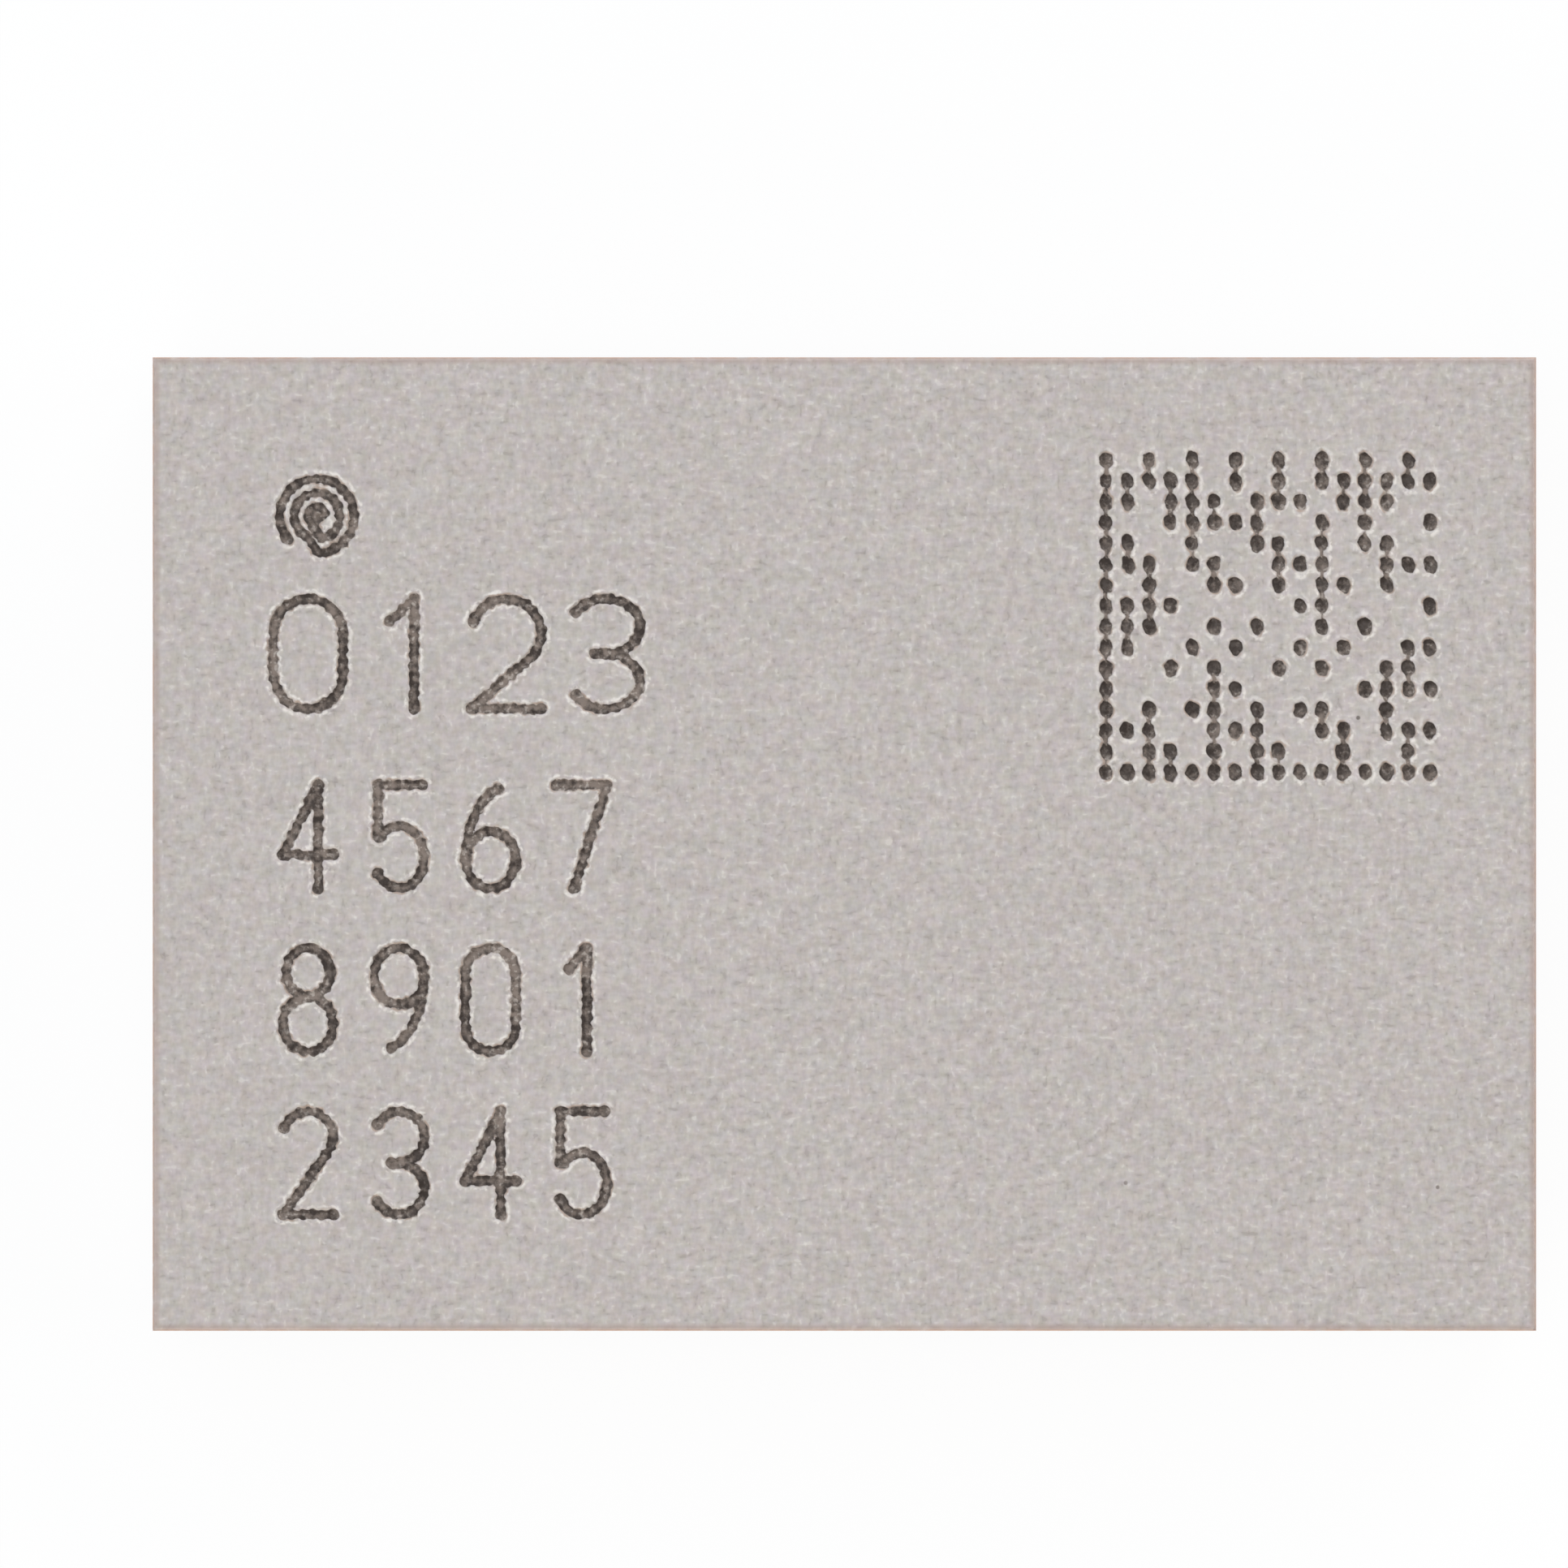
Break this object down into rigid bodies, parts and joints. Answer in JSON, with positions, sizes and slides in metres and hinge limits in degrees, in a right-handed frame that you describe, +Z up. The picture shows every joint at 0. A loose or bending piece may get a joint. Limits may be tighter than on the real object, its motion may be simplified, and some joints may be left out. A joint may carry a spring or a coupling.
{
  "type": "ball grid package",
  "caption": "Small shielded ball grid array package, moulded on both sides of its laminate, with a laser-marked metal lid and solder balls in wells underneath.",
  "frame": {"origin": "centre of the outline, on the seating plane through the lowest points of the solder balls", "axes": "+X along the long side, +Y along the short side, +Z up through the marked lid; pin one is at -X, +Y"},
  "size_m": [0.0062, 0.0044, 0.0011],
  "materials": {
    "sputtered_metal": "matt sputtered film with a fine mottled grain",
    "upper_mold_compound": "filled black epoxy",
    "lower_mold_compound": "ground charcoal epoxy with laser-cut wells",
    "solder_mask": "satin dark green",
    "glass_epoxy": "sawn edge",
    "copper": "plated copper",
    "silicon": "ground back",
    "filter_ceramic": "satin",
    "capacitor_ceramic": "fired, satin",
    "inductor_ceramic": "fired, satin",
    "tin_plate": "matt tin",
    "solder": "bright reflowed tin alloy"
  },
  "bodies": {
    "root": {"shield_film": "sputtered_metal", "top_mold": "upper_mold_compound", "bottom_mold": "lower_mold_compound", "upper_solder_mask": "solder_mask", "lower_solder_mask": "solder_mask", "laminate": "glass_epoxy", "ground_plane": "copper", "supply_plane": "copper", "ground_vias": "copper", "signal_vias": "copper", "thermal_vias": "copper", "upper_lands": "copper", "lower_lands": "copper", "power_amp_die": "silicon", "power_amp_pillars": "copper", "driver_die": "silicon", "driver_pillars": "copper", "controller_die": "silicon", "controller_pillars": "copper", "antenna_switch_die": "silicon", "antenna_switch_pillars": "copper", "low_noise_amp_die": "silicon", "low_noise_amp_pillars": "copper", "receive_switch_die": "silicon", "receive_switch_pillars": "copper", "filter_a": "filter_ceramic", "filter_b": "filter_ceramic", "filter_c": "filter_ceramic", "filter_d": "filter_ceramic", "filter_joints": "solder", "capacitor_bodies": "capacitor_ceramic", "capacitor_terminals": "tin_plate", "inductor_bodies": "inductor_ceramic", "inductor_terminals": "tin_plate", "passive_joints": "solder", "balls_row_a": "solder", "balls_row_b": "solder", "balls_row_c": "solder", "balls_row_d": "solder", "balls_row_e": "solder", "balls_row_f": "solder", "balls_row_g": "solder", "balls_row_h": "solder", "balls_row_j": "solder", "balls_row_k": "solder"}
  },
  "joints": []
}
